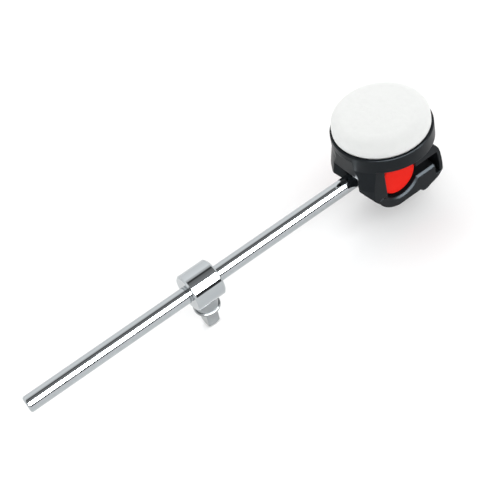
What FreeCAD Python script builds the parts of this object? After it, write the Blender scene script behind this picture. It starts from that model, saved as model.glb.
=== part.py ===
import FreeCAD, Part
import os
from math import cos, hypot, radians, sin, sqrt

V = FreeCAD.Vector

# Sizes are millimetres. X runs along the shaft from its free end to the head, Z is up through the felt.

# Fits and cuts
RUN_FIT = 0.05
SEAT_FIT = 0.02
SOFT_GAP = 0.3
OVERRUN = 10.0

# Shaft
SHAFT_R = 4.0
SHAFT_TIP = 1.2
SHAFT_TO_FELT = 202.0
SHAFT_PAST_HUB = 5.0
MARK_WIDTH = 0.6
MARK_DEPTH = 0.2

# Memory collar
COLLAR_X = 91.6
COLLAR_R = 9.2
COLLAR_LENGTH = 15.2
COLLAR_BEVEL = 0.8
SEAT_DEPTH = 0.4

# Key screw and its washer
SCREW_TURN = 6.5
SCREW_R = 3.0
SCREW_TIP_GAP = 0.05
FLANGE_R = 6.5
FLANGE_HEIGHT = 1.7
FLANGE_ROUND = 0.5
WASHER_HEIGHT = 6.0
WASHER_SEAT_R = 4.6
WASHER_RIM_R = 5.8
WASHER_BORE_GAP = 0.3
SQUARE_ACROSS = 6.3
SQUARE_TIP_ACROSS = 6.1
SQUARE_LENGTH = 12.6
SQUARE_DOME_R = 6.5

# Hub, its pin and its bush
HUB_BACK = 4.35
HUB_R = 9.8
HUB_LENGTH = 28.0
HUB_ROUND = 0.8
HUB_PIN_R = 1.5
HUB_PIN_LENGTH = 17.0
BUSH_LENGTH = 22.0

# Cup and felt
CUP_R = 24.35
CUP_LOW = 13.2
CUP_HEIGHT = 7.5
CUP_WALL = 1.7
CUP_FLOOR = 2.2
CUP_ROUND = 0.5
CUP_FLAT_X = 23.5
CUP_FLAT_TOP = 17.2
BACKING_THICK = 1.5
FELT_R = 23.2
FELT_LIP = 0.8
FELT_SIDE = 3.4
FELT_SHOULDER_R = 20.8
FELT_SHOULDER_RISE = 4.0
FELT_CROWN_R = 16.4
FELT_CROWN_RISE = 6.0
FELT_CROWN = 0.9

# Shaft-side pillars of the housing
CHEEK_HALF = 16.0
CHEEK_WALL = 1.7
WINDOW_EDGE = 13.6
FLARE_R = 26.3
FLARE_Z = 2.6
FLARE_START_Z = 12.6
UNDERSIDE_ANGLE = 214.5
NOTCH_HALF = 4.6
NOTCH_TOP = 5.2
MOUTH_HALF = 11.5
MOUTH_TOP = 10.0
MOUTH_DEPTH = 5.8
SADDLE_WALL = 1.6

# Far side of the housing
FAR_CHEEK_X = 4.6
FAR_CHEEK_LOW = 0.8
FAR_TOP_X = 17.6
FAR_LOW_X = 17.9
FAR_WALL = 1.9
ARM_ROOT_X = 16.2
ARM_ROOT_Z = 6.4
ARM_BELLY_X = 20.75
ARM_FOOT_Z = -11.7
ARM_THICK = 1.9
ARM_SLOT_HALF = 5.0
ARM_OUTLINE_SHARES = ((0.0, 0.0), (0.36, 0.09), (0.7, 0.25), (0.89, 0.48), (0.98, 0.71), (0.98, 1.0))

# Latch gate and its pin
LIP_R = 12.2
STRAP_THICK = 3.7
STRAP_EDGE_R = 11.2
HINGE_ANGLE = 210.0
HINGE_GAP = 0.35
GATE_OPEN_ANGLE = 60.0
GATE_PIN_R = 0.8
GATE_PIN_COVER = 1.4
LUG_OUT = 9.6
LUG_CLEAR = 1.4
BLOCK_FAR_X = 17.0
BLOCK_TOP = 6.3
BLOCK_LOW = 15.6
BLOCK_BEVEL = 1.1
BLOCK_ROUND = 1.6
NOSE_X = 20.55
NOSE_TOP = 12.1
NOSE_SHELF = 12.6
PULL_X = 7.4
PULL_LOW = 17.3
PULL_ROOT_X = 5.8
NOSE_OUTLINE_SHARES = ((0.0, 0.0), (0.11, 0.28), (0.3, 0.61), (0.56, 0.82), (0.85, 1.06), (1.0, 1.0))

# Sizes worked out from those above
HUB_X = -HUB_BACK
DRUM_R = LIP_R + STRAP_THICK
BUSH_R = LIP_R - SOFT_GAP
KNUCKLE_R = STRAP_THICK / 2
HINGE_R = LIP_R + KNUCKLE_R
HINGE_X = HUB_X + HINGE_R * cos(radians(HINGE_ANGLE))
HINGE_Z = HINGE_R * sin(radians(HINGE_ANGLE))
CUP_TOP = CUP_LOW + CUP_HEIGHT
POCKET_R = CUP_R - CUP_WALL
POCKET_LOW = CUP_LOW + CUP_FLOOR
FELT_LOW = POCKET_LOW + BACKING_THICK
FELT_SEAT_R = POCKET_R - SOFT_GAP
FLAT_SHARE = (FLARE_R - CUP_FLAT_X) / MOUTH_DEPTH
FLAT_LOW = MOUTH_TOP - (MOUTH_TOP - NOTCH_TOP) * FLAT_SHARE - SOFT_GAP
SCREW_SEAT_Z = -(COLLAR_R - SEAT_DEPTH)
FLANGE_TOP_Z = SCREW_SEAT_Z - WASHER_HEIGHT
SQUARE_TOP_Z = FLANGE_TOP_Z - FLANGE_HEIGHT
BAR_INSIDE = HUB_LENGTH / 2 + SOFT_GAP


def block(x0, x1, y0, y1, z0, z1):
    """Box between two corners."""
    return Part.makeBox(x1 - x0, y1 - y0, z1 - z0, V(x0, y0, z0))


def rod_x(r, x0, x1):
    """Cylinder along X on the shaft's axis."""
    return Part.makeCylinder(r, x1 - x0, V(x0, 0, 0), V(1, 0, 0))


def rod_y(r, y0, y1, x, z):
    """Cylinder along Y through (x, z)."""
    return Part.makeCylinder(r, y1 - y0, V(x, y0, z), V(0, 1, 0))


def rod_z(r, z0, z1, x):
    """Cylinder along Z at x."""
    return Part.makeCylinder(r, z1 - z0, V(x, 0, z0), V(0, 0, 1))


def outline(points):
    """Closed wire through (x, z) points in the plane of the shaft and the felt's axis."""
    return Part.makePolygon([V(x, 0, z) for x, z in points + [points[0]]])


def smooth(points):
    """Smooth edge through (x, z) points in the plane of the shaft and the felt's axis."""
    curve = Part.BSplineCurve()
    curve.interpolate([V(x, 0, z) for x, z in points])
    return curve.toShape()


def turned(wire):
    """Solid made by turning a closed wire about the felt's axis."""
    return Part.Face(wire).revolve(V(0, 0, 0), V(0, 0, 1), 360)


def across(wire, half):
    """Solid made by drawing a closed (x, z) wire across the head, the same way to both sides."""
    face = Part.Face(wire)
    face.translate(V(0, -half, 0))
    return face.extrude(V(0, half + half, 0))


def edges_near(solid, test):
    """Edges of a solid whose middle passes the test."""
    return [e for e in solid.Edges if test(e.CenterOfMass)]


def both_sides(make, inner, outer):
    """Fuse the piece made between two distances with its mirror image on the other side."""
    return make(inner, outer).fuse(make(-outer, -inner))


def square(across_flats, z, x):
    """Square wire across the screw's axis at height z."""
    h = across_flats / 2
    corners = [V(x - h, -h, z), V(x + h, -h, z), V(x + h, h, z), V(x - h, h, z), V(x - h, -h, z)]
    return Part.makePolygon(corners)


def pulled_in(points, depth):
    """Points of an open outline moved sideways by a depth, to the right of the way it runs."""
    moved = []
    for i, (x, z) in enumerate(points):
        before, after = points[max(i - 1, 0)], points[min(i + 1, len(points) - 1)]
        dx, dz = after[0] - before[0], after[1] - before[1]
        length = hypot(dx, dz)
        moved.append((x + depth * dz / length, z - depth * dx / length))
    return moved


def on_shaft(solid):
    """Solid turned about the shaft to the way the key screw points."""
    copy = solid.copy()
    copy.rotate(V(0, 0, 0), V(1, 0, 0), SCREW_TURN)
    return copy


def at_head(solid):
    """Solid moved from the felt's axis to its place along the shaft."""
    return solid.translated(V(SHAFT_TO_FELT, 0, 0))


# Shaft and collar
def make_shaft():
    end = SHAFT_TO_FELT + HUB_X + SHAFT_PAST_HUB
    rod = rod_x(SHAFT_R, -SHAFT_TIP, end)
    tip = edges_near(rod, lambda c: c.x < -SHAFT_TIP / 2)
    rod = rod.makeFillet(SHAFT_TIP, [e for e in tip if e.Curve.TypeId == "Part::GeomCircle"])
    mark_end = COLLAR_X - COLLAR_LENGTH / 2
    mark = rod_x(SHAFT_R + OVERRUN, mark_end - MARK_WIDTH, mark_end)
    rod = rod.cut(mark.cut(rod_x(SHAFT_R - MARK_DEPTH, mark_end - OVERRUN, mark_end + OVERRUN)))
    return rod.cut(at_head(rod_z(HUB_PIN_R + SEAT_FIT, -OVERRUN, OVERRUN, HUB_X)))


def make_memory_collar():
    half = COLLAR_LENGTH / 2
    ring = rod_x(COLLAR_R, COLLAR_X - half, COLLAR_X + half)
    rims = [e for e in ring.Edges if e.Curve.TypeId == "Part::GeomCircle"]
    ring = ring.makeChamfer(COLLAR_BEVEL, rims)
    ring = ring.cut(rod_x(SHAFT_R + RUN_FIT, COLLAR_X - COLLAR_LENGTH, COLLAR_X + COLLAR_LENGTH))
    ring = ring.cut(rod_z(SCREW_R + RUN_FIT, -COLLAR_R - OVERRUN, 0, COLLAR_X))
    seat = rod_z(WASHER_RIM_R, -COLLAR_R - OVERRUN, SCREW_SEAT_Z, COLLAR_X)
    return ring.cut(seat)


def make_key_screw():
    shank = rod_z(SCREW_R, FLANGE_TOP_Z, -SHAFT_R - SCREW_TIP_GAP, COLLAR_X)
    flange = rod_z(FLANGE_R, SQUARE_TOP_Z, FLANGE_TOP_Z, COLLAR_X)
    rims = [e for e in flange.Edges if e.Curve.TypeId == "Part::GeomCircle"]
    flange = flange.makeFillet(FLANGE_ROUND, rims)
    end_z = SQUARE_TOP_Z - SQUARE_LENGTH
    dome_z = end_z + SQUARE_DOME_R
    root = square(SQUARE_ACROSS, SQUARE_TOP_Z + FLANGE_HEIGHT / 2, COLLAR_X)
    tip = square(SQUARE_TIP_ACROSS, end_z, COLLAR_X)
    # The sphere's poles lie along X, off the square's end.
    dome = Part.makeSphere(SQUARE_DOME_R, V(COLLAR_X, 0, dome_z), V(1, 0, 0))
    round_dome = rod_z(SQUARE_ACROSS, end_z - OVERRUN, dome_z, COLLAR_X).cut(dome)
    head = Part.makeLoft([root, tip], True, True).cut(round_dome)
    return shank.fuse(flange).fuse(head).removeSplitter()


def make_screw_washer():
    cone = Part.makeCone(WASHER_RIM_R, WASHER_SEAT_R, WASHER_HEIGHT, V(COLLAR_X, 0, FLANGE_TOP_Z))
    bore = rod_z(SCREW_R + WASHER_BORE_GAP, FLANGE_TOP_Z - OVERRUN, SCREW_SEAT_Z + OVERRUN, COLLAR_X)
    return cone.cut(bore)


# Hub on the shaft's end
def make_hub():
    half = HUB_LENGTH / 2
    barrel = rod_y(HUB_R, -half, half, HUB_X, 0)
    rims = [e for e in barrel.Edges if e.Curve.TypeId == "Part::GeomCircle"]
    barrel = barrel.makeFillet(HUB_ROUND, rims)
    bore_end = HUB_X + SHAFT_PAST_HUB + SOFT_GAP
    barrel = barrel.cut(rod_x(SHAFT_R + SEAT_FIT, HUB_X - HUB_R - OVERRUN, bore_end))
    return barrel.cut(rod_z(HUB_PIN_R + SEAT_FIT, -HUB_R - OVERRUN, HUB_R + OVERRUN, HUB_X))


def make_hub_pin():
    return rod_z(HUB_PIN_R, -HUB_PIN_LENGTH / 2, HUB_PIN_LENGTH / 2, HUB_X)


def make_hub_bush():
    half = BUSH_LENGTH / 2
    sleeve = rod_y(BUSH_R, -half, half, HUB_X, 0)
    sleeve = sleeve.cut(rod_y(HUB_R + SEAT_FIT, -half - OVERRUN, half + OVERRUN, HUB_X, 0))
    return sleeve.cut(rod_x(SHAFT_R + SOFT_GAP, HUB_X - BUSH_R - OVERRUN, HUB_X))


# Felt and its backing
def make_felt_backing():
    return rod_z(FELT_SEAT_R, POCKET_LOW, FELT_LOW, 0)


def make_felt_pad():
    lip_z = CUP_TOP + FELT_LIP
    side_z = lip_z + FELT_SIDE - FELT_LIP
    crown_z = side_z + FELT_CROWN_RISE
    top_z = crown_z + FELT_CROWN
    seat, rim = V(FELT_SEAT_R, 0, FELT_LOW), V(FELT_SEAT_R, 0, CUP_TOP)
    lip, side = V(FELT_R, 0, lip_z), V(FELT_R, 0, side_z)
    shoulder = V(FELT_SHOULDER_R, 0, side_z + FELT_SHOULDER_RISE)
    crown, top, low = V(FELT_CROWN_R, 0, crown_z), V(0, 0, top_z), V(0, 0, FELT_LOW)
    ball_r = (FELT_CROWN_R ** 2 + FELT_CROWN ** 2) / (FELT_CROWN + FELT_CROWN)
    mid_r = FELT_CROWN_R / 2
    mid = V(mid_r, 0, top_z - ball_r + sqrt(ball_r ** 2 - mid_r ** 2))
    edges = [
        Part.makeLine(low, seat),
        Part.makeLine(seat, rim),
        Part.makeLine(rim, lip),
        Part.makeLine(lip, side),
        Part.Arc(side, shoulder, crown).toShape(),
        Part.Arc(crown, mid, top).toShape(),
        Part.makeLine(top, low),
    ]
    return turned(Part.Wire(edges))


# Strap of the gate, also used with some clearance to cut its socket in the housing
def strap_ring(grow, half):
    ring = rod_y(DRUM_R + grow, -half, half, HUB_X, 0)
    ring = ring.cut(rod_y(STRAP_EDGE_R - grow, -half - OVERRUN, half + OVERRUN, HUB_X, 0))
    reach = DRUM_R + OVERRUN
    a = radians(HINGE_ANGLE)
    out = (HUB_X + reach * cos(a), reach * sin(a))
    below = [(HUB_X, 0), out, (out[0], -reach), (HUB_X + reach, -reach), (HUB_X + reach, 0)]
    ring = ring.common(across(outline(below), half))
    knuckle = rod_y(KNUCKLE_R + grow, -half, half, HINGE_X, HINGE_Z)
    return ring.fuse(knuckle)


def on_hinge_plane(solid):
    """Solid turned from the level of the hub's axis to the plane through that axis and the gate's pin."""
    copy = solid.copy()
    copy.rotate(V(0, 0, 0), V(0, 1, 0), 180 - HINGE_ANGLE)
    return copy.translated(V(HUB_X, 0, 0))


def opened(solid):
    """Solid swung down about the gate's pin as far as the gate opens."""
    copy = solid.copy()
    copy.rotate(V(HINGE_X, 0, HINGE_Z), V(0, 1, 0), GATE_OPEN_ANGLE)
    return copy


def make_block():
    under = [(NOSE_X + x * (PULL_X - NOSE_X), -NOSE_TOP - z * (PULL_LOW - NOSE_TOP))
             for x, z in NOSE_OUTLINE_SHARES]
    sides = [under[-1], (PULL_ROOT_X, -BLOCK_LOW), (FAR_CHEEK_X, -BLOCK_LOW), (FAR_CHEEK_X, -BLOCK_TOP),
             (BLOCK_FAR_X, -BLOCK_TOP), (BLOCK_FAR_X, -NOSE_SHELF), (NOSE_X - ARM_THICK, -NOSE_SHELF),
             under[0]]
    lines = [Part.makeLine(V(a[0], 0, a[1]), V(b[0], 0, b[1])) for a, b in zip(sides, sides[1:])]
    body = across(Part.Wire(lines + [smooth(under)]), CHEEK_HALF)
    top = edges_near(body, lambda c: abs(c.z + BLOCK_TOP) < SEAT_FIT)
    far_edge = [e for e in top if abs(e.CenterOfMass.x - BLOCK_FAR_X) < SEAT_FIT]
    body = body.makeFillet(BLOCK_ROUND, far_edge)
    top = edges_near(body, lambda c: abs(c.z + BLOCK_TOP) < SEAT_FIT)
    front = [e for e in top if abs(e.CenterOfMass.y) > CHEEK_HALF - SEAT_FIT]
    return body.makeChamfer(BLOCK_BEVEL, front)


def make_latch_gate():
    ring = strap_ring(0, CHEEK_HALF)
    right = block(FAR_CHEEK_X, DRUM_R + OVERRUN, -DRUM_R - OVERRUN, DRUM_R + OVERRUN, -DRUM_R - OVERRUN, 0)
    ring = ring.cut(right)
    flat = block(-DRUM_R - OVERRUN, DRUM_R, -CHEEK_HALF - OVERRUN, CHEEK_HALF + OVERRUN,
                 -DRUM_R - OVERRUN, -BLOCK_LOW)
    floor_x = HUB_X + sqrt(DRUM_R ** 2 - BLOCK_LOW ** 2)
    floor = block(floor_x, FAR_CHEEK_X, -CHEEK_HALF, CHEEK_HALF, -BLOCK_LOW, 0)
    floor = floor.cut(rod_y(STRAP_EDGE_R, -CHEEK_HALF - OVERRUN, CHEEK_HALF + OVERRUN, HUB_X, 0))
    below_top = block(floor_x, FAR_CHEEK_X, -CHEEK_HALF, CHEEK_HALF, -BLOCK_LOW, -BLOCK_TOP)
    gate = ring.cut(flat).fuse(floor.common(below_top)).fuse(make_block()).removeSplitter()
    bush_room = BUSH_LENGTH / 2 + SOFT_GAP
    gate = gate.cut(rod_y(LIP_R, -bush_room, bush_room, HUB_X, 0))
    side_room = CHEEK_HALF + OVERRUN
    gate = gate.cut(on_hinge_plane(block(-LIP_R, 0, -side_room, side_room, -HINGE_GAP, 0)))
    for side in (-1, 1):
        face = V(HUB_X, side * CHEEK_HALF, 0)
        gate = gate.cut(Part.makeCone(LIP_R, STRAP_EDGE_R, LIP_R - STRAP_EDGE_R, face, V(0, -side, 0)))
    lug_room = LUG_OUT + HINGE_GAP
    gate = gate.cut(rod_y(KNUCKLE_R + LUG_CLEAR, -lug_room, lug_room, HINGE_X, HINGE_Z))
    return gate.cut(gate_pin_bore(RUN_FIT))


def gate_pin_bore(fit):
    """Bore of the gate's pin, open on one side and closed behind its cover on the other."""
    covered = GATE_PIN_COVER - CHEEK_HALF - SOFT_GAP
    return rod_y(GATE_PIN_R + fit, covered, CHEEK_HALF + OVERRUN, HINGE_X, HINGE_Z)


def make_gate_pin():
    return rod_y(GATE_PIN_R, GATE_PIN_COVER - CHEEK_HALF, CHEEK_HALF, HINGE_X, HINGE_Z)


# Housing
def make_cup():
    wall = [(0, CUP_LOW), (CUP_R, CUP_LOW), (CUP_R, CUP_TOP), (POCKET_R, CUP_TOP),
            (POCKET_R, POCKET_LOW), (0, POCKET_LOW)]
    cup = turned(outline(wall))
    rims = edges_near(cup, lambda c: abs(c.z - CUP_TOP) < SEAT_FIT)
    return cup.makeFillet(CUP_ROUND, rims)


def make_pillars():
    low = -DRUM_R
    flare = [(0, low), (FLARE_R, low), (FLARE_R, FLARE_Z), (CUP_R, FLARE_START_Z), (CUP_R, POCKET_LOW),
             (0, POCKET_LOW)]
    body = turned(outline(flare))
    body = body.common(block(-FLARE_R, -WINDOW_EDGE, -CHEEK_HALF, CHEEK_HALF, low, POCKET_LOW))
    reach = FLARE_R + FLARE_R
    under = block(DRUM_R, reach, -reach, reach, -reach, reach)
    under.rotate(V(0, 0, 0), V(0, 1, 0), -UNDERSIDE_ANGLE)
    body = body.cut(under.translated(V(HUB_X, 0, 0)))
    return body.cut(on_hinge_plane(block(-reach, reach, -reach, reach, -reach, 0)))


def make_notch():
    slot = block(-FLARE_R - OVERRUN, HUB_X, -NOTCH_HALF, NOTCH_HALF, -DRUM_R - OVERRUN, NOTCH_TOP)
    low = -DRUM_R - OVERRUN
    wires = []
    for x, half, top in (
        (-FLARE_R, MOUTH_HALF, MOUTH_TOP),
        (MOUTH_DEPTH - FLARE_R, NOTCH_HALF, NOTCH_TOP),
    ):
        corners = [(-half, low), (half, low), (half, top), (-half, top), (-half, low)]
        wires.append(Part.makePolygon([V(x, y, z) for y, z in corners]))
    return slot.fuse(Part.makeLoft(wires, True, True))


def make_saddle():
    far_x = HUB_X + BUSH_R + SADDLE_WALL
    half = BUSH_LENGTH / 2
    return block(-WINDOW_EDGE - SADDLE_WALL, far_x, -half, half, 0, POCKET_LOW)


def make_far_body():
    skin = [(FAR_CHEEK_X, FAR_CHEEK_LOW), (FAR_LOW_X, FAR_CHEEK_LOW), (ARM_ROOT_X, ARM_ROOT_Z),
            (FAR_TOP_X, CUP_LOW), (FAR_TOP_X, POCKET_LOW), (FAR_CHEEK_X, POCKET_LOW)]
    hollow = [(0, -OVERRUN), (FAR_LOW_X - FAR_WALL, -OVERRUN), (FAR_LOW_X - FAR_WALL, FAR_CHEEK_LOW),
              (ARM_ROOT_X - FAR_WALL, ARM_ROOT_Z), (FAR_TOP_X - FAR_WALL, CUP_LOW), (0, CUP_LOW)]
    return across(outline(skin), CHEEK_HALF).cut(across(outline(hollow), CHEEK_HALF - CHEEK_WALL))


def make_arms():
    outer = [(ARM_ROOT_X + x * (ARM_BELLY_X - ARM_ROOT_X), ARM_ROOT_Z + z * (ARM_FOOT_Z - ARM_ROOT_Z))
             for x, z in ARM_OUTLINE_SHARES]
    inner = pulled_in(outer, ARM_THICK)
    curves = [smooth(outer), smooth(inner)]
    ends = [Part.makeLine(V(a[0], 0, a[1]), V(b[0], 0, b[1]))
            for a, b in ((outer[0], inner[0]), (outer[-1], inner[-1]))]
    pair = across(Part.Wire(Part.__sortEdges__(curves + ends)), CHEEK_HALF)
    slot = block(FAR_CHEEK_X, ARM_BELLY_X + OVERRUN, -ARM_SLOT_HALF, ARM_SLOT_HALF,
                 ARM_FOOT_Z - OVERRUN, ARM_ROOT_Z + OVERRUN)
    return pair.cut(slot)


def make_housing():
    body = make_cup().fuse([make_pillars(), make_saddle(), make_far_body(), make_arms()])
    body = body.cut(make_notch())
    lugs = both_sides(lambda y0, y1: rod_y(KNUCKLE_R, y0, y1, HINGE_X, HINGE_Z), NOTCH_HALF, LUG_OUT)
    ears = both_sides(lambda y0, y1: block(-FLARE_R, 0, y0, y1, -DRUM_R, 0), LUG_OUT, CHEEK_HALF + OVERRUN)
    socket = strap_ring(HINGE_GAP, CHEEK_HALF + OVERRUN)
    room = socket.fuse(opened(socket)).common(ears)
    body = body.cut(room).fuse(lugs)
    body = body.cut(rod_y(HUB_R + SOFT_GAP, -BAR_INSIDE, BAR_INSIDE, HUB_X, 0))
    half = BUSH_LENGTH / 2
    body = body.cut(rod_y(BUSH_R + RUN_FIT, -half - SOFT_GAP, half + SOFT_GAP, HUB_X, 0))
    past_flat = block(-FLARE_R - OVERRUN, -CUP_FLAT_X, -CUP_R, CUP_R, FLAT_LOW, CUP_FLAT_TOP)
    body = body.cut(past_flat).cut(gate_pin_bore(SEAT_FIT))
    return body.removeSplitter()


COLLAR_PIECES = {
    "memory_collar": make_memory_collar,
    "key_screw": make_key_screw,
    "screw_washer": make_screw_washer,
}
HEAD_PIECES = {
    "housing": make_housing,
    "felt_pad": make_felt_pad,
    "felt_backing": make_felt_backing,
    "hub": make_hub,
    "hub_pin": make_hub_pin,
    "hub_bush": make_hub_bush,
    "latch_gate": make_latch_gate,
    "gate_pin": make_gate_pin,
}

os.makedirs("parts", exist_ok=True)
make_shaft().exportStep("parts/shaft.step")
for name, make in COLLAR_PIECES.items():
    on_shaft(make()).exportStep("parts/" + name + ".step")
for name, make in HEAD_PIECES.items():
    at_head(make()).exportStep("parts/" + name + ".step")
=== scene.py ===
"""Bass drum beater in a pale studio: its finishes, its felt pad, the floor, light and camera."""

import logging
import math
from dataclasses import dataclass
from enum import Enum

import bmesh
import bpy
from mathutils import Matrix, Vector, noise


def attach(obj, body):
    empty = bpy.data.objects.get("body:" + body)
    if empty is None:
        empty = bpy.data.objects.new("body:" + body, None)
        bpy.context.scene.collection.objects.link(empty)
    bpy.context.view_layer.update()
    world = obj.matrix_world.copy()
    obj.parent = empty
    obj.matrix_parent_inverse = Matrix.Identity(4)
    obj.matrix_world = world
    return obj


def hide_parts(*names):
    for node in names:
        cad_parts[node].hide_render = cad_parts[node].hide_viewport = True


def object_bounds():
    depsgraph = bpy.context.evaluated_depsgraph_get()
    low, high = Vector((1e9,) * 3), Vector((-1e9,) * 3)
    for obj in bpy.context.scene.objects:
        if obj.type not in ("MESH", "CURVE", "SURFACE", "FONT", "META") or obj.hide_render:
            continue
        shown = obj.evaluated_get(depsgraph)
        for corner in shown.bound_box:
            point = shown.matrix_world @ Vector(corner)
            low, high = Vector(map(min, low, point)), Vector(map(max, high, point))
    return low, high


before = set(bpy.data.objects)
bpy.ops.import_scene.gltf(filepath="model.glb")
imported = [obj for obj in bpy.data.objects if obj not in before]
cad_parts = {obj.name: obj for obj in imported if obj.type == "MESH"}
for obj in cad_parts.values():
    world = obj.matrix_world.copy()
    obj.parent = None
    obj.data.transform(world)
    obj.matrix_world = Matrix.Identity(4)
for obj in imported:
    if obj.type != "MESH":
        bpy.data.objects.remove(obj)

LOG = logging.getLogger("beater")
CAD_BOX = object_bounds()
MM = 0.001
ON_AXIS = 0.01 * MM
FLOOR_GAP = 0.2 * MM
HALF_TURN_DEGREES = 180.0
WHITE = (1.0, 1.0, 1.0)

Triple = tuple[float, float, float]
Span = tuple[float, float]
Feed = bpy.types.NodeSocket | float | tuple[float, ...]


class Body(Enum):
    """Body of the frame that a new piece rides on."""

    HEAD = "head"


class Slot(Enum):
    """Material slots of the record."""

    CHROME = "chrome"
    BLACK_PLASTIC = "black_plastic"
    RED_PLASTIC = "red_plastic"
    BUSH_RUBBER = "bush_rubber"
    PIN_STEEL = "pin_steel"
    FELT = "felt"
    BACKING = "backing"


@dataclass(frozen=True)
class Grain:
    """Noise in a piece's own metres: lumps per metre, finer layers, stirring, stretch by axis."""

    per_metre: float
    layers: float = 4.0
    stirred: float = 0.0
    stretch: Triple = (1.0, 1.0, 1.0)


@dataclass(frozen=True)
class Relief:
    """Bumped skin: the share of it that shows and its depth in metres."""

    share: float
    depth: float


class Tree:
    """A node tree that is filled one node at a time."""

    def __init__(self, tree: bpy.types.NodeTree) -> None:
        """Empty the tree and keep it.

        Args:
            tree: node tree of a material or a world.
        """
        self.nodes = tree.nodes
        self.links = tree.links
        self.nodes.clear()

    def feed(self, socket: bpy.types.NodeSocket, value: Feed) -> None:
        """Set an input, or link it to an output.

        Args:
            socket: the input.
            value: its value, or the output that it follows.
        """
        if isinstance(value, bpy.types.NodeSocket):
            self.links.new(value, socket)
        else:
            socket.default_value = value

    def add(self, kind: str, **inputs: Feed) -> bpy.types.Node:
        """Add a node and feed its inputs.

        Args:
            kind: Blender's type name of the node.
            inputs: input names, with _ for a space, and what each is fed.

        Returns:
            The new node.
        """
        node = self.nodes.new(kind)
        for name, value in inputs.items():
            self.feed(node.inputs[name.replace("_", " ")], value)
        return node

    def math(self, operation: str, first: Feed, second: Feed = 0.0) -> bpy.types.NodeSocket:
        """Add a math node.

        Args:
            operation: Blender's name of the sum.
            first: first value or socket.
            second: second value or socket.

        Returns:
            The result's socket.
        """
        node = self.nodes.new("ShaderNodeMath")
        node.operation = operation
        for socket, value in zip(node.inputs, (first, second)):
            self.feed(socket, value)
        return node.outputs["Value"]

    def ranged(self, value: bpy.types.NodeSocket, span: Span) -> bpy.types.NodeSocket:
        """Spread a value that runs from zero to one over a span."""
        node = self.add("ShaderNodeMapRange", Value=value, To_Min=span[0], To_Max=span[1])
        return node.outputs["Result"]

    def mixed(self, share: bpy.types.NodeSocket, first: Triple,
              second: Triple) -> bpy.types.NodeSocket:
        """Mix two colours.

        Args:
            share: socket with the second colour's share.
            first: colour at zero.
            second: colour at one.

        Returns:
            The mixed colour's socket.
        """
        node = self.nodes.new("ShaderNodeMix")
        node.data_type = "RGBA"
        self.links.new(share, node.inputs["Factor"])
        colours = [s for s in node.inputs if s.type == "RGBA"]
        for socket, colour in zip(colours, (first, second)):
            socket.default_value = (*colour, 1.0)
        return next(s for s in node.outputs if s.type == "RGBA")

    def grain(self, grain: Grain) -> bpy.types.NodeSocket:
        """Add noise in the piece's own metres.

        Args:
            grain: how the noise lies.

        Returns:
            The noise's socket, zero to one.
        """
        place = self.nodes.new("ShaderNodeTexCoord").outputs["Object"]
        mapping = self.add("ShaderNodeMapping", Vector=place, Scale=grain.stretch)
        node = self.add(
            "ShaderNodeTexNoise",
            Vector=mapping.outputs["Vector"],
            Scale=grain.per_metre,
            Detail=grain.layers,
            Distortion=grain.stirred,
        )
        return node.outputs["Fac"]

    def relief(self, height: bpy.types.NodeSocket, relief: Relief,
               under: bpy.types.NodeSocket | None = None) -> bpy.types.NodeSocket:
        """Turn a height into a bumped normal.

        Args:
            height: socket with the height.
            relief: how much of it shows, and how deep.
            under: normal that the relief lies on.

        Returns:
            The normal's socket.
        """
        node = self.add(
            "ShaderNodeBump", Strength=relief.share, Distance=relief.depth, Height=height
        )
        if under is not None:
            self.links.new(under, node.inputs["Normal"])
        return node.outputs["Normal"]

    def soft_edges(self, radius: float) -> bpy.types.NodeSocket:
        """Give the normal of edges that are broken to a radius in metres."""
        return self.add("ShaderNodeBevel", Radius=radius).outputs["Normal"]

    def surface(self, **inputs: Feed) -> None:
        """Add the surface shader with these inputs and join it to the material's output."""
        shader = self.add("ShaderNodeBsdfPrincipled", **inputs)
        self.add("ShaderNodeOutputMaterial", Surface=shader.outputs["BSDF"])


def new_material(name: str) -> tuple[bpy.types.Material, Tree]:
    """Make an empty node material.

    Args:
        name: name of the material.

    Returns:
        The material and its tree.
    """
    material = bpy.data.materials.new(name)
    material.use_nodes = True
    return material, Tree(material.node_tree)


@dataclass(frozen=True)
class ChromeFinish:
    """Bright chrome plating over turned steel."""

    name: str
    colour: Triple = (0.415, 0.44, 0.455)
    roughness: Span = (0.03, 0.07)
    haze: Grain = Grain(140.0, 5.0)
    turning: Grain = Grain(2600.0, 2.0, stretch=(1.0, 0.01, 0.01))
    marks: Relief = Relief(0.25, 0.004 * MM)
    edge_radius: float = 0.25 * MM

    def make(self) -> bpy.types.Material:
        """Build the material with faint turning marks and a little haze.

        Returns:
            The chrome material.
        """
        material, tree = new_material(self.name)
        turned = tree.grain(self.turning)
        tree.surface(
            Base_Color=(*self.colour, 1.0),
            Metallic=1.0,
            Roughness=tree.ranged(tree.grain(self.haze), self.roughness),
            Normal=tree.relief(turned, self.marks, tree.soft_edges(self.edge_radius)),
        )
        return material


@dataclass(frozen=True)
class PlasticFinish:
    """Moulded plastic with a fine grain."""

    name: str
    colour: Triple
    shade: Triple
    roughness: Span
    specular: float
    gloss_tint: Triple = WHITE
    cloud: Grain = Grain(220.0, 3.0)
    grain: Grain = Grain(2600.0, 2.0)
    skin: Relief = Relief(0.35, 0.03 * MM)
    edge_radius: float = 0.7 * MM

    def make(self) -> bpy.types.Material:
        """Build the material with broken edges, clouded colour and a moulded grain.

        Returns:
            The plastic material.
        """
        material, tree = new_material(self.name)
        cloud = tree.grain(self.cloud)
        grain = tree.grain(self.grain)
        tree.surface(
            Base_Color=tree.mixed(cloud, self.colour, self.shade),
            Roughness=tree.ranged(cloud, self.roughness),
            Specular_IOR_Level=self.specular,
            Specular_Tint=(*self.gloss_tint, 1.0),
            Normal=tree.relief(grain, self.skin, tree.soft_edges(self.edge_radius)),
        )
        return material


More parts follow.
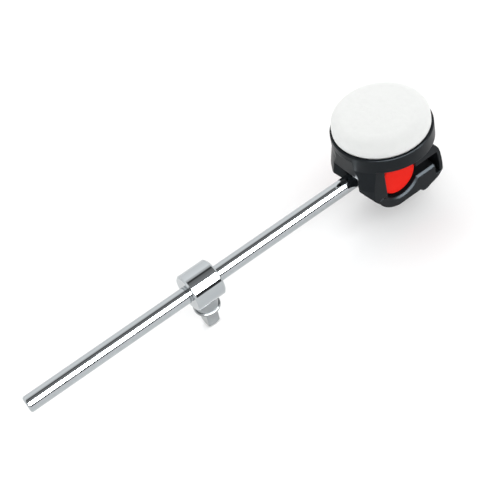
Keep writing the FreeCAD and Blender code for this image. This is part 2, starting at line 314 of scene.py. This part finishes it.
@dataclass(frozen=True)
class RubberFinish:
    """Dull black rubber with a dusty bloom."""

    name: str
    colour: Triple = (0.012, 0.012, 0.013)
    bloom: Triple = (0.03, 0.03, 0.031)
    roughness: Span = (0.6, 0.85)
    specular: float = 0.3
    patches: Grain = Grain(700.0, 5.0)
    skin: Relief = Relief(0.3, 0.03 * MM)

    def make(self) -> bpy.types.Material:
        """Build the material with a patchy bloom.

        Returns:
            The rubber material.
        """
        material, tree = new_material(self.name)
        patches = tree.grain(self.patches)
        tree.surface(
            Base_Color=tree.mixed(patches, self.colour, self.bloom),
            Roughness=tree.ranged(patches, self.roughness),
            Specular_IOR_Level=self.specular,
            Normal=tree.relief(patches, self.skin),
        )
        return material


@dataclass(frozen=True)
class SteelFinish:
    """Ground steel of a small pin."""

    name: str
    colour: Triple = (0.5, 0.51, 0.52)
    roughness: Span = (0.22, 0.4)
    lines: Grain = Grain(5200.0, 2.0, stretch=(1.0, 0.05, 1.0))
    skin: Relief = Relief(0.3, 0.01 * MM)

    def make(self) -> bpy.types.Material:
        """Build the material with grinding lines.

        Returns:
            The steel material.
        """
        material, tree = new_material(self.name)
        lines = tree.grain(self.lines)
        tree.surface(
            Base_Color=(*self.colour, 1.0),
            Metallic=1.0,
            Roughness=tree.ranged(lines, self.roughness),
            Normal=tree.relief(lines, self.skin),
        )
        return material


@dataclass(frozen=True)
class FeltFinish:
    """Dense white pressed felt."""

    name: str
    colour: Triple = (0.74, 0.75, 0.74)
    shade: Triple = (0.64, 0.65, 0.64)
    roughness: Span = (0.9, 1.0)
    sheen: float = 0.25
    sheen_roughness: float = 0.6
    along: Grain = Grain(1500.0, 6.0, 2.2, (1.0, 0.35, 1.0))
    across: Grain = Grain(1500.0, 6.0, 2.2, (0.35, 1.0, 1.0))
    lumps: Grain = Grain(260.0, 4.0, 0.4)
    lump_share: float = 0.5
    skin: Relief = Relief(0.35, 0.18 * MM)

    def make(self) -> bpy.types.Material:
        """Build the material with matted fibres, small lumps and a soft sheen.

        Returns:
            The felt material.
        """
        material, tree = new_material(self.name)
        lumps = tree.grain(self.lumps)
        matted = tree.math("MAXIMUM", tree.grain(self.along), tree.grain(self.across))
        height = tree.math("ADD", tree.math("MULTIPLY", lumps, self.lump_share), matted)
        hollows = tree.math("MULTIPLY", tree.math("SUBTRACT", 1.0, matted), lumps)
        tree.surface(
            Base_Color=tree.mixed(hollows, self.colour, self.shade),
            Roughness=tree.ranged(lumps, self.roughness),
            Specular_IOR_Level=0.0,
            Sheen_Weight=self.sheen,
            Sheen_Roughness=self.sheen_roughness,
            Normal=tree.relief(height, self.skin),
        )
        return material


@dataclass(frozen=True)
class BoardFinish:
    """Stiff fibre board behind the felt."""

    name: str
    colour: Triple = (0.16, 0.13, 0.1)
    shade: Triple = (0.24, 0.2, 0.16)
    roughness: Span = (0.75, 0.95)
    fibres: Grain = Grain(1100.0, 6.0, 1.5)
    skin: Relief = Relief(0.4, 0.05 * MM)

    def make(self) -> bpy.types.Material:
        """Build the material with pressed fibres.

        Returns:
            The board material.
        """
        material, tree = new_material(self.name)
        fibres = tree.grain(self.fibres)
        tree.surface(
            Base_Color=tree.mixed(fibres, self.colour, self.shade),
            Roughness=tree.ranged(fibres, self.roughness),
            Normal=tree.relief(fibres, self.skin),
        )
        return material


@dataclass(frozen=True)
class PaperFinish:
    """Pale studio paper."""

    name: str
    colour: Triple = (0.96, 0.96, 0.96)
    shade: Triple = (0.94, 0.94, 0.94)
    roughness: float = 0.95
    mottle: Grain = Grain(12.0, 3.0)

    def make(self) -> bpy.types.Material:
        """Build the material with a faint mottle.

        Returns:
            The paper material.
        """
        material, tree = new_material(self.name)
        tree.surface(
            Base_Color=tree.mixed(tree.grain(self.mottle), self.colour, self.shade),
            Roughness=self.roughness,
            Specular_IOR_Level=0.0,
        )
        return material


def dress(node: str, material: bpy.types.Material) -> None:
    """Give a node of the frame its finish.

    Args:
        node: name of the node.
        material: its new material.
    """
    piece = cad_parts[node]
    piece.data.materials.clear()
    piece.data.materials.append(material)
    LOG.info("%s dressed in %s", node, material.name)


@dataclass
class ShaftSet:
    """Rod that the pedal clamps, with the pin that holds it in the hub."""

    chrome: ChromeFinish
    steel: SteelFinish

    def dress(self) -> None:
        """Dress the rod and its pin."""
        dress("shaft", self.chrome.make())
        dress("hub_pin", self.steel.make())


@dataclass
class MemoryCollar:
    """Collar on the rod with its key screw and washer."""

    collar: ChromeFinish
    screw: ChromeFinish
    washer: ChromeFinish

    def dress(self) -> None:
        """Dress the collar, the screw and the washer."""
        dress("memory_collar", self.collar.make())
        dress("key_screw", self.screw.make())
        dress("screw_washer", self.washer.make())


@dataclass
class Head:
    """Housing with the hub, its bush, the gate, the gate's pin and the felt's backing."""

    black: PlasticFinish
    red: PlasticFinish
    rubber: RubberFinish
    steel: SteelFinish
    board: BoardFinish

    def dress(self) -> None:
        """Dress the pieces of the head."""
        black = self.black.make()
        dress("housing", black)
        dress("latch_gate", black)
        dress("hub", self.red.make())
        dress("hub_bush", self.rubber.make())
        dress("gate_pin", self.steel.make())
        dress("felt_backing", self.board.make())


@dataclass
class FeltPad:
    """Round striking pad of pressed felt, with a lip over the cup's rim, a shoulder and a crown.

    Sizes are in metres, heights from the shaft's axis. The squareness makes the shoulder a little
    fuller than a quarter of an ellipse, and the steps count the rows of faces in each stretch.
    """

    finish: FeltFinish
    centre: Vector
    low: float
    seat_radius: float
    rim: float
    lip_radius: float
    lip: float
    side: float
    shoulder_radius: float
    top: float
    crown: float
    squareness: float = 0.92
    segments: int = 288
    base_steps: int = 10
    wall_steps: int = 4
    lip_steps: int = 8
    side_steps: int = 6
    shoulder_steps: int = 28
    crown_steps: int = 44
    ripple: float = 0.06 * MM
    lumps_per_metre: float = 420.0
    lump_layers: int = 4
    lump_fading: float = 1.0
    lump_spacing: float = 2.0
    tufts_per_metre: float = 1900.0

    def seat_outline(self) -> list[Span]:
        """Outline of the base, of the wall in the cup and of the lip that swells over the rim.

        Returns:
            Radius and height of each point.
        """
        points = [(self.seat_radius * i / self.base_steps, self.low)
                  for i in range(self.base_steps + 1)]
        points += [(self.seat_radius, self.low + (self.rim - self.low) * i / self.wall_steps)
                   for i in range(1, self.wall_steps + 1)]
        for i in range(1, self.lip_steps + 1):
            swing = (1 - math.cos(math.pi * i / self.lip_steps)) / 2
            points.append((
                self.seat_radius + (self.lip_radius - self.seat_radius) * swing,
                self.rim + (self.lip - self.rim) * i / self.lip_steps,
            ))
        return points

    def face_outline(self) -> list[Span]:
        """Outline of the side above the lip, of the rounded shoulder and of the crown.

        Returns:
            Radius and height of each point.
        """
        points = [(self.lip_radius, self.lip + (self.side - self.lip) * i / self.side_steps)
                  for i in range(1, self.side_steps + 1)]
        rise = self.top - self.crown - self.side
        width = self.lip_radius - self.shoulder_radius
        for i in range(1, self.shoulder_steps + 1):
            turn = math.pi / 2 * i / self.shoulder_steps
            points.append((
                self.shoulder_radius + width * math.cos(turn) ** self.squareness,
                self.side + rise * math.sin(turn) ** self.squareness,
            ))
        for i in range(1, self.crown_steps + 1):
            share = 1 - i / self.crown_steps
            points.append((self.shoulder_radius * share, self.top - self.crown * share ** 2))
        return points

    def ring(self, shape: bmesh.types.BMesh, radius: float,
             height: float) -> list[bmesh.types.BMVert]:
        """Add the points of one ring, or the one point on the axis.

        Args:
            shape: mesh under construction.
            radius: radius of the ring.
            height: height of the ring.

        Returns:
            The ring's points in order.
        """
        if radius < ON_AXIS:
            return [shape.verts.new((self.centre.x, self.centre.y, height))]
        points = []
        for i in range(self.segments):
            turn = 2 * math.pi * i / self.segments
            points.append(shape.verts.new((
                self.centre.x + radius * math.cos(turn),
                self.centre.y + radius * math.sin(turn),
                height,
            )))
        return points

    def ruffle(self, shape: bmesh.types.BMesh) -> None:
        """Raise small lumps and tufts on the skin above the cup's rim.

        Args:
            shape: mesh under construction.
        """
        shape.normal_update()
        for vert in shape.verts:
            if vert.co.z > self.rim:
                place = vert.co * self.lumps_per_metre
                layers = (self.lump_fading, self.lump_spacing, self.lump_layers)
                lump = noise.fractal(place, *layers)
                tuft = noise.noise(vert.co * self.tufts_per_metre)
                vert.co += vert.normal * (lump + tuft) * self.ripple

    def build(self) -> bpy.types.Object:
        """Turn the outline about the pad's axis and ruffle its skin.

        Returns:
            The felt pad.
        """
        shape = bmesh.new()
        outline = self.seat_outline() + self.face_outline()
        rings = [self.ring(shape, radius, height) for radius, height in outline]
        for below, above in zip(rings, rings[1:]):
            for i in range(self.segments):
                j = (i + 1) % self.segments
                corners = [
                    below[i % len(below)],
                    below[j % len(below)],
                    above[j % len(above)],
                    above[i % len(above)],
                ]
                shape.faces.new(list(dict.fromkeys(corners)))
        self.ruffle(shape)
        mesh = bpy.data.meshes.new("felt_face")
        shape.to_mesh(mesh)
        shape.free()
        mesh.shade_smooth()
        pad = bpy.data.objects.new("felt_face", mesh)
        bpy.context.scene.collection.objects.link(pad)
        return pad

    def dress(self) -> None:
        """Make the pad, dress it and set it in the cup."""
        pad = self.build()
        pad.data.materials.append(self.finish.make())
        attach(pad, Body.HEAD.value)
        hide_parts("felt_pad")
        LOG.info("%s stands for the felt pad", pad.name)


@dataclass(frozen=True)
class SoftBox:
    """Rectangular studio light that only glossy surfaces mirror."""

    name: str
    place: Triple
    aim: Triple
    size: Span
    radiance: float

    def build(self) -> None:
        """Hang the light and turn it to its aim."""
        lamp = bpy.data.lights.new(self.name, "AREA")
        lamp.shape = "RECTANGLE"
        lamp.size, lamp.size_y = self.size
        lamp.energy = self.radiance * math.pi * self.size[0] * self.size[1]
        box = bpy.data.objects.new(self.name, lamp)
        way = Vector(self.aim) - Vector(self.place)
        turn = way.to_track_quat("-Z", "Y").to_matrix().to_4x4()
        box.matrix_world = Matrix.Translation(self.place) @ turn
        box.visible_camera = False
        box.visible_diffuse = False
        bpy.context.scene.collection.objects.link(box)


@dataclass(frozen=True)
class TopLight:
    """Very broad light from above that no surface mirrors, with its angles in degrees."""

    strength: float = 1.5
    spread: float = 150.0
    turn: Triple = (27.0, 23.0, 0.0)

    def build(self) -> None:
        """Hang the light."""
        lamp = bpy.data.lights.new("top_light", "SUN")
        lamp.energy = self.strength
        lamp.angle = math.radians(self.spread)
        sun = bpy.data.objects.new("top_light", lamp)
        sun.rotation_euler = [math.radians(degrees) for degrees in self.turn]
        sun.visible_glossy = False
        bpy.context.scene.collection.objects.link(sun)


@dataclass
class Studio:
    """Pale floor, soft light and the camera.

    The camera is given by its eye and its three axes. Each band of the long panels round the shaft
    has its height over the +Y horizon in degrees and its brightness, and band_top is the brightness
    that the ramp's white stands for.
    """

    floor_height: float
    floor_half: float = 4.0
    lens: float = 79.2
    sensor: float = 36.0
    nearest: float = 10.0 * MM
    eye: Triple = (-0.02199, -0.31706, 0.36425)
    right: Triple = (0.7896, -0.5806, -0.1986)
    up: Triple = (0.5451, 0.515, 0.6615)
    back: Triple = (-0.2818, -0.6306, 0.7232)
    bands: tuple[Span, ...] = (
        (0.0, 1.2),
        (54.0, 1.45),
        (70.0, 0.85),
        (76.0, 0.06),
        (82.0, 0.08),
        (88.0, 0.28),
        (117.0, 0.42),
        (122.0, 1.35),
        (154.0, 1.35),
        (160.0, 0.06),
        (180.0, 0.06),
    )
    band_top: float = 2.0
    sky: float = 1.05
    top_light: TopLight = TopLight()
    front_box: SoftBox = SoftBox(
        name="front_box",
        place=(0.2, -0.64, 0.53),
        aim=(0.2, 0.0, 0.0),
        size=(1.8, 0.6),
        radiance=30.0,
    )

    def build_floor(self) -> None:
        """Lay the floor."""
        h = self.floor_half
        corners = [(-h, -h), (h, -h), (h, h), (-h, h)]
        mesh = bpy.data.meshes.new("floor")
        mesh.from_pydata([(x, y, self.floor_height) for x, y in corners], [], [(0, 1, 2, 3)])
        floor = bpy.data.objects.new("floor", mesh)
        floor.data.materials.append(PaperFinish("studio_paper").make())
        bpy.context.scene.collection.objects.link(floor)

    def build_panels(self, tree: Tree) -> bpy.types.NodeSocket:
        """Make the long panels round the shaft, which the chrome mirrors.

        Args:
            tree: node tree of the world.

        Returns:
            The panels' shader socket.
        """
        place = tree.nodes.new("ShaderNodeTexCoord").outputs["Generated"]
        way = tree.add("ShaderNodeSeparateXYZ", Vector=place)
        angle = tree.math("ARCTAN2", way.outputs["Z"], way.outputs["Y"])
        ramp = tree.add("ShaderNodeValToRGB", Fac=tree.math("DIVIDE", angle, math.pi))
        stops = ramp.color_ramp.elements
        for i, (degrees, level) in enumerate(self.bands):
            share = degrees / HALF_TURN_DEGREES
            stop = stops[i] if i < len(stops) else stops.new(share)
            stop.position = share
            stop.color = (*[level / self.band_top] * 3, 1.0)
        panels = tree.add(
            "ShaderNodeBackground", Color=ramp.outputs["Color"], Strength=self.band_top
        )
        return panels.outputs["Background"]

    def build_light(self) -> None:
        """Surround the object with the panels, seen as plain white, and hang the lights."""
        world = bpy.data.worlds.new("studio")
        world.use_nodes = True
        bpy.context.scene.world = world
        tree = Tree(world.node_tree)
        plain = tree.add("ShaderNodeBackground", Color=(*WHITE, 1.0), Strength=self.sky)
        mix = tree.nodes.new("ShaderNodeMixShader")
        seen, hidden, shown = mix.inputs
        tree.feed(seen, tree.nodes.new("ShaderNodeLightPath").outputs["Is Camera Ray"])
        tree.feed(hidden, self.build_panels(tree))
        tree.feed(shown, plain.outputs["Background"])
        tree.add("ShaderNodeOutputWorld", Surface=mix.outputs["Shader"])
        self.top_light.build()
        self.front_box.build()

    def build_camera(self) -> None:
        """Set the camera at the picture's viewpoint."""
        data = bpy.data.cameras.new("camera")
        data.lens = self.lens
        data.sensor_width = self.sensor
        data.clip_start = self.nearest
        camera = bpy.data.objects.new("camera", data)
        turn = Matrix((self.right, self.up, self.back)).transposed().to_4x4()
        camera.matrix_world = Matrix.Translation(self.eye) @ turn
        bpy.context.scene.collection.objects.link(camera)
        bpy.context.scene.camera = camera

    def build(self) -> None:
        """Make the studio."""
        self.build_floor()
        self.build_light()
        self.build_camera()
        bpy.context.scene.view_settings.view_transform = "Standard"


def main() -> None:
    """Dress the beater and build its studio."""
    logging.basicConfig(level=logging.INFO)
    black = PlasticFinish(
        name="moulded_black",
        colour=(0.0045, 0.0054, 0.0062),
        shade=(0.006, 0.007, 0.008),
        roughness=(0.32, 0.4),
        specular=0.13,
        gloss_tint=(0.76, 0.89, 1.0),
    )
    red = PlasticFinish(
        name="moulded_red",
        colour=(0.82, 0.013, 0.005),
        shade=(0.78, 0.011, 0.004),
        roughness=(0.3, 0.4),
        specular=0.06,
    )
    # Darker than the rod's chrome: painted shade, standing in for the darker reflections on the
    # screw's faces.
    screw_chrome_painted_dark = ChromeFinish(
        name="screw_chrome_painted_dark",
        colour=(0.27, 0.28, 0.285),
        roughness=(0.1, 0.18),
    )
    # Darker than the rod's chrome: painted shade, standing in for the dark reflections in the
    # washer's cone.
    washer_chrome_painted_dark = ChromeFinish(name="washer_chrome_painted_dark", colour=(0.3, 0.315, 0.325))
    ShaftSet(ChromeFinish("rod_chrome"), SteelFinish("hub_pin_steel")).dress()
    MemoryCollar(ChromeFinish("collar_chrome"), screw_chrome_painted_dark, washer_chrome_painted_dark).dress()
    Head(
        black,
        red,
        RubberFinish("sleeve_rubber"),
        SteelFinish("gate_pin_steel"),
        BoardFinish("fibre_board"),
    ).dress()
    FeltPad(
        FeltFinish("pressed_felt"),
        centre=Vector((202.0 * MM, 0.0, 0.0)),
        low=16.9 * MM,
        seat_radius=22.35 * MM,
        rim=20.7 * MM,
        lip_radius=23.2 * MM,
        lip=21.5 * MM,
        side=24.1 * MM,
        shoulder_radius=16.4 * MM,
        top=31.0 * MM,
        crown=0.9 * MM,
    ).dress()
    Studio(floor_height=CAD_BOX[0].z - FLOOR_GAP).build()


if __name__ == "__main__":
    main()
